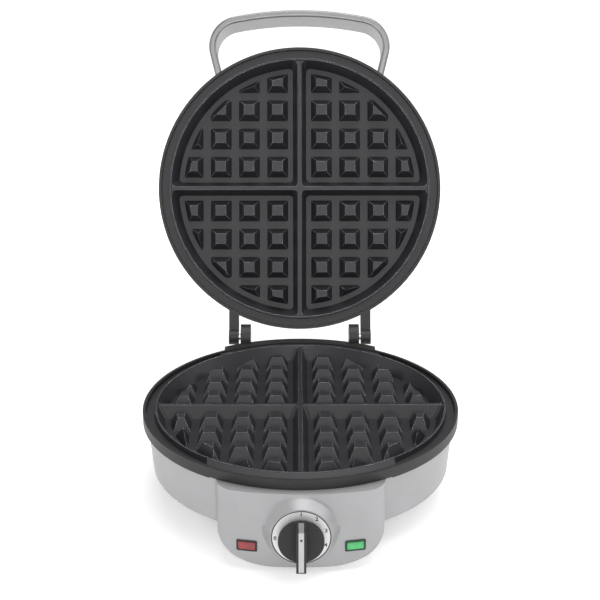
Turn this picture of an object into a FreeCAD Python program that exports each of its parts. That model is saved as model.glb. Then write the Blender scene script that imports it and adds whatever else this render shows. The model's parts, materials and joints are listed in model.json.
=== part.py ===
import FreeCAD, Part
import math
import os
import re

import Sketcher
from FreeCAD import Placement, Rotation, Vector

# A round, four-quarter waffle maker: a heated base with a control pod in front, and a heated lid
# on two hinge pins at the back. Millimetres, +Z up, -Y towards the cook. The origin is the centre
# of the bottom cover's flat underside. The lid stands open on its stop.

doc = FreeCAD.newDocument("WaffleMaker")
sheet = doc.addObject("Spreadsheet::Sheet", "Sizes")

SIZES = [
    # rims and hinge
    ("rim_plane", 69, "height of the base's rim face above the underside"),
    ("rim_rad", 124, "outer radius of both rims"),
    ("lip_wide", 2.4, "width of the rim's upright lip"),
    ("skirt_deep", 8.5, "depth of the rim's outer skirt"),
    ("skirt_notch", 0.7, "how much shorter the skirt is over the pod"),
    ("shelf_drop", 5.5, "rim face to the shelf that carries the grid"),
    ("shelf_thick", 2, "thickness of that shelf"),
    ("shelf_wide", 11, "from the rim's outside to the shelf's inner edge"),
    ("rim_gap", 2.6, "space between the two rim faces when closed"),
    ("hinge_reach", 7, "hinge axis behind the rim"),
    ("open_angle", 111.5, "how far the lid swings open"),
    ("bridge_half", 65, "half length of the rear hinge bridge"),
    ("bridge_out", 6.5, "how far the bridge stands out from the rim"),
    ("lug_in", 43, "inner face of a hinge lug"),
    ("lug_out", 51.7, "outer face of a hinge lug"),
    ("knuckle_rad", 11.3, "radius of a lug's round end"),
    ("arm_in", 53.6, "inner face of a lid arm"),
    ("arm_out", 62.2, "outer face of a lid arm"),
    ("barrel_rad", 6.5, "radius of a lid arm's round end"),
    ("pin_rad", 2.75, "hinge pin radius"),
    ("pin_run", 0.05, "running clearance of the pin in the lid arm"),
    ("pin_seat", 0.02, "clearance of the pin in the base lug"),
    ("pin_blind", 1.5, "wall left at the blind end of the arm's bore"),
    # grids
    ("flange_gap", 0.3, "clearance between a grid's flange and the lip"),
    ("flange_thick", 2.5, "thickness of the grid's flange"),
    ("body_gap", 0.5, "clearance between the grid's body and the shelf"),
    ("ridge_inset", 10.3, "rim's outside to the crest of the sealing ridge"),
    ("ridge_half", 0.6, "half width of the flat crest"),
    ("ridge_wall", 9, "rim's outside to the ridge's outer wall"),
    ("ridge_rise", 1.1, "crest above the rim face"),
    ("floor_inset", 17, "rim's outside to the edge of the cooking floor"),
    ("floor_drop", 10.4, "rim face to the cooking floor"),
    ("plate_thick", 3.6, "thickness of the grid under its floor"),
    ("stud_first", 19.45, "centre to the first row of studs"),
    ("stud_pitch", 25, "stud spacing"),
    ("stud_foot", 18.3, "width of a stud at the floor"),
    ("stud_top", 8.8, "width of a stud at the top"),
    ("stud_drop", 0.4, "rim face to the top of the studs"),
    ("stud_inset", 21.5, "rim's outside to the edge of the studs' zone"),
    ("bar_foot", 11.6, "width of a dividing bar at the floor"),
    ("bar_top", 2.9, "width of a dividing bar at the top"),
    ("bar_round", 4, "fillet where the bars meet each other and the ridge"),
    ("pad_half", 68, "half length of the bridge between ridge and lip, front and back"),
    ("post_rad", 5, "radius of the posts under a grid"),
    ("post_ring", 88, "posts' distance from the centre"),
    # heating
    ("element_ring", 78, "radius of the heating element's ring"),
    ("element_rad", 3.3, "radius of the element's tube"),
    ("element_turn", 300, "degrees of ring that the element covers"),
    ("lead_long", 14, "length of the element's cold ends"),
    ("lead_hole", 5, "radius of the holes that the cold ends pass"),
    ("clamp_thick", 1.5, "thickness of an element clamp"),
    ("clamp_wide", 9, "width of an element clamp"),
    ("clamp_foot", 7.5, "length of a clamp's foot against the grid"),
    ("clamp_reach", 5, "clamp beyond the element's centre line"),
    ("foot_gap", 1.2, "clamp's foot to the element"),
    ("reflector_drop", 26, "rim face to the reflector's lower face"),
    ("reflector_thick", 0.6, "thickness of the heat reflector"),
    ("reflector_rad", 104, "radius of the heat reflector"),
    ("reflector_lip", 6, "height of the reflector's rim"),
    # base housing
    ("wall_inset", 3.7, "rim's outside to the housing wall, at the top"),
    ("taper", 3.3, "how much the wall draws in towards its foot"),
    ("bowl_foot", 21, "height of the bowl's lower edge"),
    ("foot_round", 1.5, "rounding of that edge"),
    ("wall_thick", 2.5, "thickness of the housing"),
    ("service_rad", 52, "radius of the opening in the bowl's floor"),
    ("boss_rad", 6, "radius of the screw bosses"),
    ("pod_half", 62, "half width of the control pod at its root"),
    ("pod_draw", 1.5, "how much each side draws in towards the front"),
    ("pod_reach", 6, "pod's face beyond the rim"),
    ("pod_curve", 207, "plan radius of the pod's face"),
    ("pod_corner", 18, "plan radius of the pod's front corners"),
    ("pod_top_gap", 0.2, "skirt to the top of the pod"),
    ("pod_flat", 20, "half width of the flat part of the pod's lower edge"),
    ("pod_lift", 1.2, "underside to the pod's lower edge"),
    ("pod_sweep", 27, "height of the round lower corners of the pod"),
    # bottom cover and feet
    ("pan_rad", 94, "radius of the bottom cover"),
    ("pan_back", 20, "bottom cover's centre behind the origin"),
    ("pan_thick", 2.5, "thickness of the bottom cover"),
    ("pan_gap", 2, "bottom cover to the pod's rear wall"),
    ("foot_inset", 9, "bottom cover's edge to a foot's centre"),
    ("foot_rad", 8, "radius of a rubber foot"),
    ("foot_high", 3, "height of a rubber foot"),
    ("foot_seat", 1, "depth of a foot's seat in the bottom cover"),
    ("foot_slack", 0.25, "clearance round a foot in its seat"),
    # dial and knob
    ("dial_up", 32.2, "height of the dial's centre"),
    ("dial_proud", 10, "dial's face in front of the pod's face"),
    ("cone_foot", 26.9, "radius of the dial's cone where it meets the pod"),
    ("dial_rad", 21.4, "outer radius of the dial ring"),
    ("dial_thick", 1, "thickness of the dial ring"),
    ("dial_rim", 0.8, "cone's edge around the dial ring"),
    ("dial_bore", 9, "radius of the hole in the dial ring"),
    ("knob_rad", 16.4, "radius of the knob's disc"),
    ("knob_thick", 3.2, "thickness of the knob's disc"),
    ("knob_gap", 3.8, "dial's face to the knob's disc"),
    ("hub_rad", 7.5, "radius of the knob's hub"),
    ("hub_gap", 0.6, "dial's face to the knob's hub"),
    ("grip_wide", 7.1, "width of the knob's grip"),
    ("grip_up", 16, "grip above the knob's centre"),
    ("grip_down", 16.5, "grip below the knob's centre"),
    ("grip_out", 14, "grip in front of the knob's disc"),
    ("insert_wide", 4, "width of the bright strip on the grip"),
    ("insert_thick", 1.2, "thickness of that strip"),
    ("insert_short", 0.8, "strip's lower end above the grip's lower end"),
    ("spindle_rad", 3, "radius of the thermostat's spindle"),
    ("spindle_run", 0.05, "running clearance of the spindle"),
    ("spindle_seat", 0.02, "clearance of the spindle in the knob"),
    # indicator lenses
    ("lens_x", 39, "lens centre beside the pod's middle"),
    ("lens_corner", 1.2, "rounding of a lens's corners"),
    ("lens_up", 17.5, "height of the lens centres"),
    ("lens_wide", 13.3, "width of a lens"),
    ("lens_high", 6.9, "height of a lens"),
    ("bezel_edge", 1, "width of the dark frame around a lens"),
    ("bezel_proud", 0.5, "frame in front of the pod's face"),
    ("lens_proud", 1, "lens in front of the pod's face"),
    ("part_gap", 0.1, "clearance between a small part and its hole"),
    # lid
    ("cover_thick", 0.8, "thickness of the lid cover"),
    ("cover_draw", 1.4, "how much the lid's wall draws in"),
    ("cover_wall", 15, "height of the lid's upright wall"),
    ("cover_shoulder", 12, "radius of the lid's shoulder"),
    ("cover_dome", 3, "rise of the lid's top in the middle"),
    ("handle_reach", 33.8, "handle's outer edge beyond the rim"),
    ("handle_arch", 296, "plan radius of the handle's front"),
    ("handle_corner", 27, "outer radius of the handle's corners"),
    ("handle_half", 77.3, "outside of a handle leg, 12 mm inside the rim's front"),
    ("handle_lean", 14, "degrees that a leg leans inwards"),
    ("strap_thick", 6, "thickness of the handle's strap"),
    ("strap_wide", 30, "width of the handle's strap"),
    ("strap_back", 3, "rim face to the strap's near edge"),
    ("strap_round", 1.8, "rounding of the strap's edges"),
    ("leg_screw_low", 13, "lid's rim to the lower screw in each of the handle's legs"),
    ("leg_screw_pitch", 12, "pitch of the screws in a leg"),
    ("leg_screw_rad", 1.4, "radius of such a screw"),
    ("leg_screw_start", 6, "its head's seat to the middle of the lid's wall"),
    ("leg_screw_long", 16, "its length"),
    ("leg_head_rad", 3, "radius of its head"),
    ("leg_head_high", 2, "height of its head"),
    ("strap_lean", 3.7, "how much nearer the lid the strap's far edge is"),
    ("handle_gap", 0.15, "handle to the rim's skirt"),
]


def fill_sheet():
    for row, (alias, number, note) in enumerate(SIZES, start=1):
        sheet.set("A%d" % row, str(number))
        sheet.setAlias("A%d" % row, alias)
        sheet.set("B%d" % row, note)
    doc.recompute()


fill_sheet()
ALIASES = {alias for alias, _, _ in SIZES}
NODES = {}

# Heights and radii that several parts share, written once as text for the sheet's expressions.
HINGE_UP = "(rim_plane + rim_gap / 2)"
HINGE_Y = "(rim_rad + hinge_reach)"
SHELF_TOP = "(rim_plane - shelf_drop)"
SHELF_LOW = "(rim_plane - shelf_drop - shelf_thick)"
FLOOR_UP = "(rim_plane - floor_drop)"
PLATE_LOW = "(rim_plane - floor_drop - plate_thick)"
REFLECTOR_LOW = "(rim_plane - reflector_drop)"
REFLECTOR_TOP = "(rim_plane - reflector_drop + reflector_thick)"
ELEMENT_UP = "(rim_plane - floor_drop - plate_thick - element_rad)"
BOWL_FLOOR = "(bowl_foot + wall_thick)"
POD_FACE = "(rim_rad + pod_reach)"
DIAL_FACE = "(rim_rad + pod_reach + dial_proud)"
POD_TOP = "(rim_plane - skirt_deep + skirt_notch - pod_top_gap)"
POD_BACK = "(pan_rad - pan_back + pan_gap)"
WALL_TOP = "(rim_rad - wall_inset)"
WALL_FOOT = "(rim_rad - wall_inset - taper)"
COVER_LOW = "(rim_plane + rim_gap + shelf_drop + shelf_thick)"


def value(text):
    return float(sheet.evalExpression(str(text)))


def linked(text):
    """The same expression, with each alias read from the sheet."""
    swap = lambda word: "Sizes." + word.group(0) if word.group(0) in ALIASES else word.group(0)
    return re.sub(r"[A-Za-z_][A-Za-z_0-9]*", swap, str(text))


def bind(item, **sizes):
    for name, text in sizes.items():
        item.setExpression(name, linked(text))


TURNS = {
    "x": Rotation(Vector(0, 1, 0), 90),
    "y": Rotation(Vector(1, 0, 0), -90),
    "z": Rotation(),
    "-y": Rotation(Vector(1, 0, 0), 90),
}


def place(item, at, turn=Rotation()):
    item.Placement = Placement(Vector(0, 0, 0), turn)
    for axis, text in zip("xyz", at):
        item.setExpression("Placement.Base." + axis, linked(text))
    return item


def rod(name, radius, length, at, along="z"):
    item = doc.addObject("Part::Cylinder", name)
    bind(item, Radius=radius, Height=length)
    return place(item, at, TURNS[along])


def block(name, sizes, at, turn=Rotation()):
    item = doc.addObject("Part::Box", name)
    bind(item, Length=sizes[0], Width=sizes[1], Height=sizes[2])
    return place(item, at, turn)


def joined(name, items):
    item = doc.addObject("Part::MultiFuse", name)
    item.Shapes = items
    return item


def shared(name, items):
    item = doc.addObject("Part::MultiCommon", name)
    item.Shapes = items
    return item


def cut(name, base, tools):
    item = doc.addObject("Part::Cut", name)
    item.Base = base
    item.Tool = tools[0] if len(tools) == 1 else joined(name + "_tools", tools)
    return item


def turned_over(name, source):
    """The source reflected in the plane midway between the closed rims."""
    item = doc.addObject("Part::Mirroring", name)
    item.Source = source
    item.Base = Vector(0, 0, value(HINGE_UP))
    item.Normal = Vector(0, 0, 1)
    return item


def solid(name, shape):
    item = doc.addObject("Part::Feature", name)
    item.Shape = shape
    return item


def node(name, item):
    item.Label = name
    NODES[name] = item
    return item


def lid_node(name, item):
    """A sub-part that is drawn closed and then swung open about the hinge."""
    pivot = Vector(0, value(HINGE_Y), value(HINGE_UP))
    swing = Rotation(Vector(1, 0, 0), -value("open_angle"))
    item.Placement = Placement(Vector(0, 0, 0), swing, pivot).multiply(item.Placement)
    return node(name, item)


def polar(radius, degrees, centre_y="0"):
    """Expressions for the point at that angle from +X, on a circle about (0, centre_y)."""
    angle = math.radians(degrees)
    across = "(%s) * %.6f" % (radius, math.cos(angle))
    along = "%s + (%s) * %.6f" % (centre_y, radius, math.sin(angle))
    return across, along


def outline(body, role, points, lift=None):
    """A closed sketch on one of the body's own planes, with every corner bound to the sheet.

    A corner is (x, y), or (x, y, radius) where an arc leads on from it: a positive radius turns
    left, and a negative one turns right.
    """
    sketch = body.newObject("Sketcher::SketchObject", body.Name + "_outline")
    plane = [item for item in body.Origin.OriginFeatures if item.Role == role][0]
    sketch.AttachmentSupport = [(plane, "")]
    sketch.MapMode = "FlatFace"
    if lift is not None:
        sketch.setExpression("AttachmentOffset.Base.z", linked(lift))
    spots = [Vector(value(point[0]), value(point[1]), 0) for point in points]
    ends = []
    for index, point in enumerate(points):
        start, stop = spots[index], spots[(index + 1) % len(spots)]
        if len(point) == 2:
            sketch.addGeometry(Part.LineSegment(start, stop), False)
            ends.append((1, 2))
            continue
        radius = value(point[2])
        half = (stop - start) * 0.5
        left = Vector(-half.y, half.x, 0).normalize()
        reach = math.sqrt(max(radius ** 2 - half.Length ** 2, 0))
        centre = start + half + left * math.copysign(reach, radius)
        first, last = (start, stop) if radius > 0 else (stop, start)
        angles = [math.atan2(spot.y - centre.y, spot.x - centre.x) for spot in (first, last)]
        circle = Part.Circle(centre, Vector(0, 0, 1), abs(radius))
        sketch.addGeometry(Part.ArcOfCircle(circle, angles[0], angles[1]), False)
        ends.append((1, 2) if radius > 0 else (2, 1))
        hold(sketch, Sketcher.Constraint("Radius", index, abs(radius)), "abs(%s)" % point[2])
    count = len(points)
    for index in range(count):
        after = (index + 1) % count
        joint = Sketcher.Constraint("Coincident", index, ends[index][1], after, ends[after][0])
        sketch.addConstraint(joint)
    for index, point in enumerate(points):
        corner = (index, ends[index][0])
        spot = spots[index]
        hold(sketch, Sketcher.Constraint("DistanceX", -1, 1, *corner, spot.x), point[0])
        hold(sketch, Sketcher.Constraint("DistanceY", -1, 1, *corner, spot.y), point[1])
    return sketch


def hold(sketch, constraint, text):
    number = sketch.addConstraint(constraint)
    sketch.setExpression("Constraints[%d]" % number, linked(text))


def spun(name, points):
    """A body of revolution about Z from an outline of (radius, height) corners."""
    body = doc.addObject("PartDesign::Body", name)
    sketch = outline(body, "XZ_Plane", points)
    turn = body.newObject("PartDesign::Revolution", name + "_turn")
    turn.Profile = sketch
    turn.ReferenceAxis = (sketch, ["V_Axis"])
    turn.Angle = 360
    return body


def padded(name, role, points, length, lift=None, both_ways=False):
    """A body padded from an outline on one of its own planes."""
    body = doc.addObject("PartDesign::Body", name)
    sketch = outline(body, role, points, lift)
    pad = body.newObject("PartDesign::Pad", name + "_pad")
    pad.Profile = sketch
    bind(pad, Length=length)
    pad.Midplane = both_ways
    return body


def rounded(body, name, radius, chosen):
    """A fillet on those edges of the body's last feature that the test picks."""
    doc.recompute()
    base = body.Tip
    edges = base.Shape.Edges
    picked = ["Edge%d" % number for number, edge in enumerate(edges, start=1) if chosen(edge)]
    fillet = body.newObject("PartDesign::Fillet", name)
    fillet.Base = (base, picked)
    bind(fillet, Radius=radius)
    return fillet


def filleted(name, source, radius, chosen):
    """A rounded copy of a Part shape, on those edges that the test picks."""
    doc.recompute()
    item = doc.addObject("Part::Fillet", name)
    item.Base = source
    size = value(radius)
    item.Edges = [(number, size, size)
                  for number, edge in enumerate(source.Shape.Edges, start=1) if chosen(edge)]
    return item


def level(edge, height):
    """True where the whole edge lies at that height."""
    box = edge.BoundBox
    return abs(box.ZMin - height) < 0.001 and abs(box.ZMax - height) < 0.001


def upright(edge):
    box = edge.BoundBox
    return box.XLength < 0.001 and box.YLength < 0.001


def rim_blank(name):
    """Upright lip, outer skirt and the shelf that the grid rests on."""
    bore = "rim_rad - lip_wide"
    return spun(name, [
        (bore, "rim_plane"),
        ("rim_rad", "rim_plane"),
        ("rim_rad", "rim_plane - skirt_deep"),
        (bore, "rim_plane - skirt_deep"),
        (bore, SHELF_LOW),
        ("rim_rad - shelf_wide", SHELF_LOW),
        ("rim_rad - shelf_wide", SHELF_TOP),
        (bore, SHELF_TOP),
    ])


def plate_blank(name):
    """The grid's round plate: flat floor, sealing ridge and outer flange."""
    flange_rad = "rim_rad - lip_wide - flange_gap"
    flange_up = SHELF_TOP + " + flange_thick"
    body_rad = "rim_rad - shelf_wide - body_gap"
    crest = "rim_plane + ridge_rise"
    return spun(name, [
        ("0", PLATE_LOW),
        (body_rad + " - plate_thick", PLATE_LOW),
        (body_rad, SHELF_TOP),
        (flange_rad, SHELF_TOP),
        (flange_rad, flange_up),
        ("rim_rad - ridge_wall", flange_up),
        ("rim_rad - ridge_inset + ridge_half", crest),
        ("rim_rad - ridge_inset - ridge_half", crest),
        ("rim_rad - floor_inset", FLOOR_UP),
        ("0", FLOOR_UP),
    ])


def taper(name, foot, top, high, at):
    """A block that narrows upwards: foot and top are each (width, depth)."""
    item = doc.addObject("Part::Wedge", name)
    bind(item, Xmin="-(%s) / 2" % foot[0], Xmax="(%s) / 2" % foot[0])
    bind(item, Zmin="-(%s) / 2" % foot[1], Zmax="(%s) / 2" % foot[1])
    bind(item, X2min="-(%s) / 2" % top[0], X2max="(%s) / 2" % top[0])
    bind(item, Z2min="-(%s) / 2" % top[1], Z2max="(%s) / 2" % top[1])
    bind(item, Ymin="0", Ymax=high)
    return place(item, at, TURNS["-y"])


def grid_blank(name):
    """Plate, studs in four quarters, two dividing bars and four posts underneath."""
    stud_high = "floor_drop - stud_drop"
    rows = int((value("rim_rad - stud_inset") - value("stud_first")) / value("stud_pitch") + 1.4)
    spots = []
    for row in range(rows):
        spots.append("(stud_first + %d * stud_pitch)" % row)
    studs = []
    for across in spots:
        for along in spots:
            for side in ("", "-"):
                for end in ("", "-"):
                    stud = taper("%s_stud_%d" % (name, len(studs)), ("stud_foot", "stud_foot"),
                                 ("stud_top", "stud_top"), stud_high,
                                 (side + across, end + along, FLOOR_UP))
                    studs.append(stud)
    zone = doc.addObject("Part::Cone", name + "_zone")
    bind(zone, Radius1="rim_rad - stud_inset", Height=stud_high,
         Radius2="rim_rad - stud_inset - (stud_foot - stud_top) / 2")
    place(zone, ("0", "0", FLOOR_UP))
    inside = shared(name + "_studs", [joined(name + "_stud_rows", studs), zone])
    foot_long = "2 * (rim_rad - floor_inset + 1)"
    top_long = "2 * (rim_rad - floor_inset + 6)"
    at = ("0", "0", FLOOR_UP)
    bars = [
        taper(name + "_bar_x", (foot_long, "bar_foot"), (top_long, "bar_top"), stud_high, at),
        taper(name + "_bar_y", ("bar_foot", foot_long), ("bar_top", top_long), stud_high, at),
    ]
    posts = []
    for index in range(4):
        across, along = polar("post_ring", 45 + 90 * index)
        posts.append(rod("%s_post_%d" % (name, index), "post_rad",
                         "%s - %s" % (PLATE_LOW, REFLECTOR_TOP), (across, along, REFLECTOR_TOP)))
    cast = joined(name + "_cast", [plate_blank(name + "_plate"), inside] + bars + posts)
    whole = filleted(name + "_filleted", cast, "bar_round", bar_corner)
    return cut(name, whole, post_holes(name) + clamp_holes(name) + flange_holes(name))


def bar_corner(edge):
    """True for the steep edges where the bars meet each other, or meet the ridge."""
    half = value("bar_foot") / 2 + 0.4
    ridge = value("rim_rad - floor_inset") - 2
    box = edge.BoundBox
    if len(edge.Vertexes) != 2 or box.ZMin < value(FLOOR_UP) - 0.1 or box.ZLength < 8:
        return False
    spots = [vertex.Point for vertex in edge.Vertexes]
    central = all(max(abs(spot.x), abs(spot.y)) < half for spot in spots)
    outer = all(math.hypot(spot.x, spot.y) > ridge and min(abs(spot.x), abs(spot.y)) < half
                for spot in spots)
    return central or outer


POST_SCREW = {"shank": "1.8", "hole": "1.9", "head": "3.4", "head_high": "2.2"}
SMALL_SCREW = {"shank": "1.3", "hole": "1.4", "head": "2.1", "head_high": "1.4"}
CLAMP_ANGLES = (0, 180, 270)
FLANGE_ANGLES = (20, 90, 160, 200, 270, 340)
FLANGE_RING = "rim_rad - ridge_wall + 0.1"


def post_holes(name):
    holes = []
    for index in range(4):
        across, along = polar("post_ring", 45 + 90 * index)
        holes.append(rod("%s_post_hole_%d" % (name, index), POST_SCREW["hole"], "10",
                         (across, along, REFLECTOR_TOP)))
    return holes


def clamp_holes(name):
    holes = []
    for index, angle in enumerate(CLAMP_ANGLES):
        across, along = polar(CLAMP_SCREW_RING, angle)
        holes.append(rod("%s_clamp_hole_%d" % (name, index), SMALL_SCREW["hole"], "2.6",
                         (across, along, PLATE_LOW)))
    return holes


def flange_holes(name):
    holes = []
    for index, angle in enumerate(FLANGE_ANGLES):
        across, along = polar(FLANGE_RING, angle)
        holes.append(rod("%s_flange_hole_%d" % (name, index), SMALL_SCREW["hole"], "2",
                         (across, along, SHELF_TOP)))
    return holes


CLAMP_SCREW_RING = "element_ring - element_rad - foot_gap - clamp_foot / 2"
CLAMP_LOW = "(rim_plane - floor_drop - plate_thick - 2 * element_rad - clamp_thick)"


def screw(name, kind, at, length):
    """A screw whose head's seat is at the point, with its shank rising from there."""
    shank = rod(name + "_shank", kind["shank"], length, at)
    lift = "%s - %s" % (at[2], kind["head_high"])
    head = rod(name + "_head", kind["head"], kind["head_high"], (at[0], at[1], lift))
    return joined(name, [shank, head])


def element(name):
    """A sheathed ring under the grid, with two cold ends turned away from it."""
    start = 90 + (360 - value("element_turn")) / 2
    ring = doc.addObject("Part::Torus", name + "_ring")
    bind(ring, Radius1="element_ring", Radius2="element_rad", Angle3="element_turn")
    place(ring, ("0", "0", ELEMENT_UP), Rotation(Vector(0, 0, 1), start))
    pieces = [ring]
    for index, angle in enumerate((start, start + value("element_turn"))):
        across, along = polar("element_ring", angle)
        elbow = doc.addObject("Part::Sphere", "%s_elbow_%d" % (name, index))
        bind(elbow, Radius="element_rad + 0.15")
        place(elbow, (across, along, ELEMENT_UP + " - 0.15"))
        pieces.append(elbow)
        pieces.append(rod("%s_lead_%d" % (name, index), "element_rad", "lead_long",
                          (across, along, ELEMENT_UP + " - lead_long")))
    return joined(name, pieces)


def clamps(name):
    """Three cranked straps that press the element against the grid."""
    straps = []
    for index, angle in enumerate(CLAMP_ANGLES):
        inner = "element_ring - element_rad - foot_gap - clamp_foot"
        strap = padded("%s_%d" % (name, index), "XZ_Plane", [
            (inner, CLAMP_LOW),
            ("element_ring + clamp_reach", CLAMP_LOW),
            ("element_ring + clamp_reach", CLAMP_LOW + " + clamp_thick"),
            (inner + " + clamp_foot", CLAMP_LOW + " + clamp_thick"),
            (inner + " + clamp_foot", PLATE_LOW),
            (inner, PLATE_LOW),
        ], "clamp_wide", both_ways=True)
        strap.Placement = Placement(Vector(0, 0, 0), Rotation(Vector(0, 0, 1), angle))
        straps.append(strap)
    holes = []
    for index, angle in enumerate(CLAMP_ANGLES):
        across, along = polar(CLAMP_SCREW_RING, angle)
        holes.append(rod("%s_hole_%d" % (name, index), SMALL_SCREW["hole"], "20",
                         (across, along, CLAMP_LOW + " - 1")))
    return cut(name, joined(name + "_straps", straps), holes)


def clamp_screws(name):
    screws = []
    for index, angle in enumerate(CLAMP_ANGLES):
        across, along = polar(CLAMP_SCREW_RING, angle)
        screws.append(screw("%s_%d" % (name, index), SMALL_SCREW, (across, along, CLAMP_LOW),
                            "%s - %s + 2.3" % (PLATE_LOW, CLAMP_LOW)))
    return joined(name, screws)


def grid_screws(name):
    """Short screws from behind, through the rim's shelf into the grid's flange."""
    screws = []
    for index, angle in enumerate(FLANGE_ANGLES):
        across, along = polar(FLANGE_RING, angle)
        screws.append(screw("%s_%d" % (name, index), SMALL_SCREW, (across, along, SHELF_LOW),
                            "shelf_thick + 1.7"))
    return joined(name, screws)


def shelf_holes(name):
    holes = []
    for index, angle in enumerate(FLANGE_ANGLES):
        across, along = polar(FLANGE_RING, angle)
        holes.append(rod("%s_shelf_hole_%d" % (name, index), SMALL_SCREW["hole"],
                         "shelf_thick + 1", (across, along, SHELF_LOW + " - 0.5")))
    return holes


def reflector(name):
    """A thin dished sheet behind the element, with holes for posts' screws and cold ends."""
    low = REFLECTOR_LOW
    pan = spun(name + "_sheet", [
        ("0", low),
        ("reflector_rad", low),
        ("reflector_rad", low + " + reflector_lip"),
        ("reflector_rad - reflector_thick", low + " + reflector_lip"),
        ("reflector_rad - reflector_thick", REFLECTOR_TOP),
        ("0", REFLECTOR_TOP),
    ])
    holes = []
    for index in range(4):
        across, along = polar("post_ring", 45 + 90 * index)
        holes.append(rod("%s_screw_hole_%d" % (name, index), POST_SCREW["hole"], "4",
                         (across, along, low + " - 1")))
    start = 90 + (360 - value("element_turn")) / 2
    for index, angle in enumerate((start, start + value("element_turn"))):
        across, along = polar("element_ring", angle)
        holes.append(rod("%s_lead_hole_%d" % (name, index), "lead_hole", "4",
                         (across, along, low + " - 1")))
    return cut(name, pan, holes)


# ---------------------------------------------------------------- base

def lower_rim():
    bridge = doc.addObject("Part::Cylinder", "bridge_disc")
    bind(bridge, Radius="rim_rad + bridge_out", Height="skirt_deep")
    place(bridge, ("0", "0", "rim_plane - skirt_deep"))
    limit = block("bridge_limit", ("2 * bridge_half", "rim_rad", "2 * skirt_deep"),
                  ("-bridge_half", "rim_rad / 2", "rim_plane - 1.5 * skirt_deep"))
    hollow = rod("bridge_bore", "rim_rad - lip_wide / 2", "3 * skirt_deep",
                 ("0", "0", "rim_plane - 2 * skirt_deep"))
    bridge_arc = cut("bridge_arc", shared("bridge_sector", [bridge, limit]), [hollow])
    pieces = [rim_blank("lower_rim_ring"), bridge_arc]
    for side, sign in (("right", ""), ("left", "-")):
        start = "lug_in" if sign == "" else "-lug_out"
        knuckle = rod("lug_knuckle_" + side, "knuckle_rad", "lug_out - lug_in",
                      (start, HINGE_Y, HINGE_UP), "x")
        web = block("lug_web_" + side,
                    ("lug_out - lug_in", "hinge_reach + 8", "skirt_deep"),
                    (start, "rim_rad - 8", "rim_plane - skirt_deep"))
        pieces += [knuckle, web]
    notch = block("skirt_notch_box", ("2 * pod_half + 8", "rim_rad", "skirt_deep"),
                  ("-pod_half - 4", "-1.5 * rim_rad", "rim_plane - 2 * skirt_deep + skirt_notch"))
    bores = []
    for side, start in (("right", "lug_in - 1"), ("left", "-lug_out - 1")):
        bores.append(rod("lug_bore_" + side, "pin_rad + pin_seat", "lug_out - lug_in + 2",
                         (start, HINGE_Y, HINGE_UP), "x"))
    return cut("lower_rim_body", joined("lower_rim_whole", pieces),
               [notch] + bores + shelf_holes("lower_rim"))


def lower_grid():
    """The base's grid has a bridge between ridge and lip at the front and at the back."""
    flange_rad = "rim_rad - lip_wide - flange_gap"
    band = spun("grid_pad_band", [
        ("rim_rad - ridge_wall - 1", SHELF_TOP + " + flange_thick - 0.3"),
        (flange_rad, SHELF_TOP + " + flange_thick - 0.3"),
        (flange_rad, "rim_plane - 0.9"),
        ("rim_rad - ridge_wall - 1", "rim_plane + ridge_rise - 0.3"),
    ])
    reach = block("grid_pad_reach", ("2 * pad_half", "2 * rim_rad", "20"),
                  ("-pad_half", "-rim_rad", "rim_plane - 10"))
    return joined("lower_grid_body", [grid_blank("lower_grid_cast"),
                                      shared("grid_pads", [band, reach])])


def pod_solid(name, inset, top, back):
    """The pod's outline in plan, trimmed to its round-cornered front view."""
    side = "(pod_half - %s)" % inset
    front_half = "(pod_half - pod_draw - %s)" % inset
    curve = value("pod_curve") - value(inset)
    sag = curve - math.sqrt(curve ** 2 - value(front_half) ** 2)
    nose = "-(%s - %s - %.5f)" % (POD_FACE, inset, sag)
    plan = padded(name + "_plan", "XY_Plane", [
        (side, "-(%s)" % back),
        ("-" + side, "-(%s)" % back),
        ("-" + front_half, nose, "pod_curve - %s" % inset),
        (front_half, nose),
    ], top)
    rounded(plan, name + "_corners", "pod_corner - %s" % inset,
            lambda edge: upright(edge) and edge.BoundBox.YMax < value(nose) + 0.01)
    half = value(side)
    flat = value("pod_flat")
    low = value(inset) + value("pod_lift")
    sweep = value("pod_sweep")
    depth = value(POD_FACE) + 5
    ellipse_wide, ellipse_high = half - flat, sweep - low
    edges = [Part.LineSegment(Vector(-flat, 0, low), Vector(flat, 0, low)).toShape()]
    edges.append(Part.LineSegment(Vector(half, 0, sweep), Vector(half, 0, 2 * depth)).toShape())
    edges.append(Part.LineSegment(Vector(half, 0, 2 * depth), Vector(-half, 0, 2 * depth)).toShape())
    edges.append(Part.LineSegment(Vector(-half, 0, 2 * depth), Vector(-half, 0, sweep)).toShape())
    for sign in (1, -1):
        centre = Vector(sign * flat, 0, sweep)
        spots = [centre + Vector(0, 0, -ellipse_high), centre + Vector(sign * ellipse_wide, 0, 0)]
        if ellipse_wide >= ellipse_high:
            ellipse = Part.Ellipse(spots[1], spots[0], centre)
        else:
            ellipse = Part.Ellipse(spots[0], spots[1], centre)
        ends = [ellipse.parameter(spot) for spot in spots]
        trims = [Part.ArcOfEllipse(ellipse, ends[0], ends[1]),
                 Part.ArcOfEllipse(ellipse, ends[1], ends[0])]
        edges.append(min(trims, key=lambda arc: arc.length()).toShape())
    wire = Part.Wire(Part.__sortEdges__(edges))
    front = solid(name + "_front", Part.Face(wire).extrude(Vector(0, -depth, 0)))
    return shared(name, [plan, front])


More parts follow.
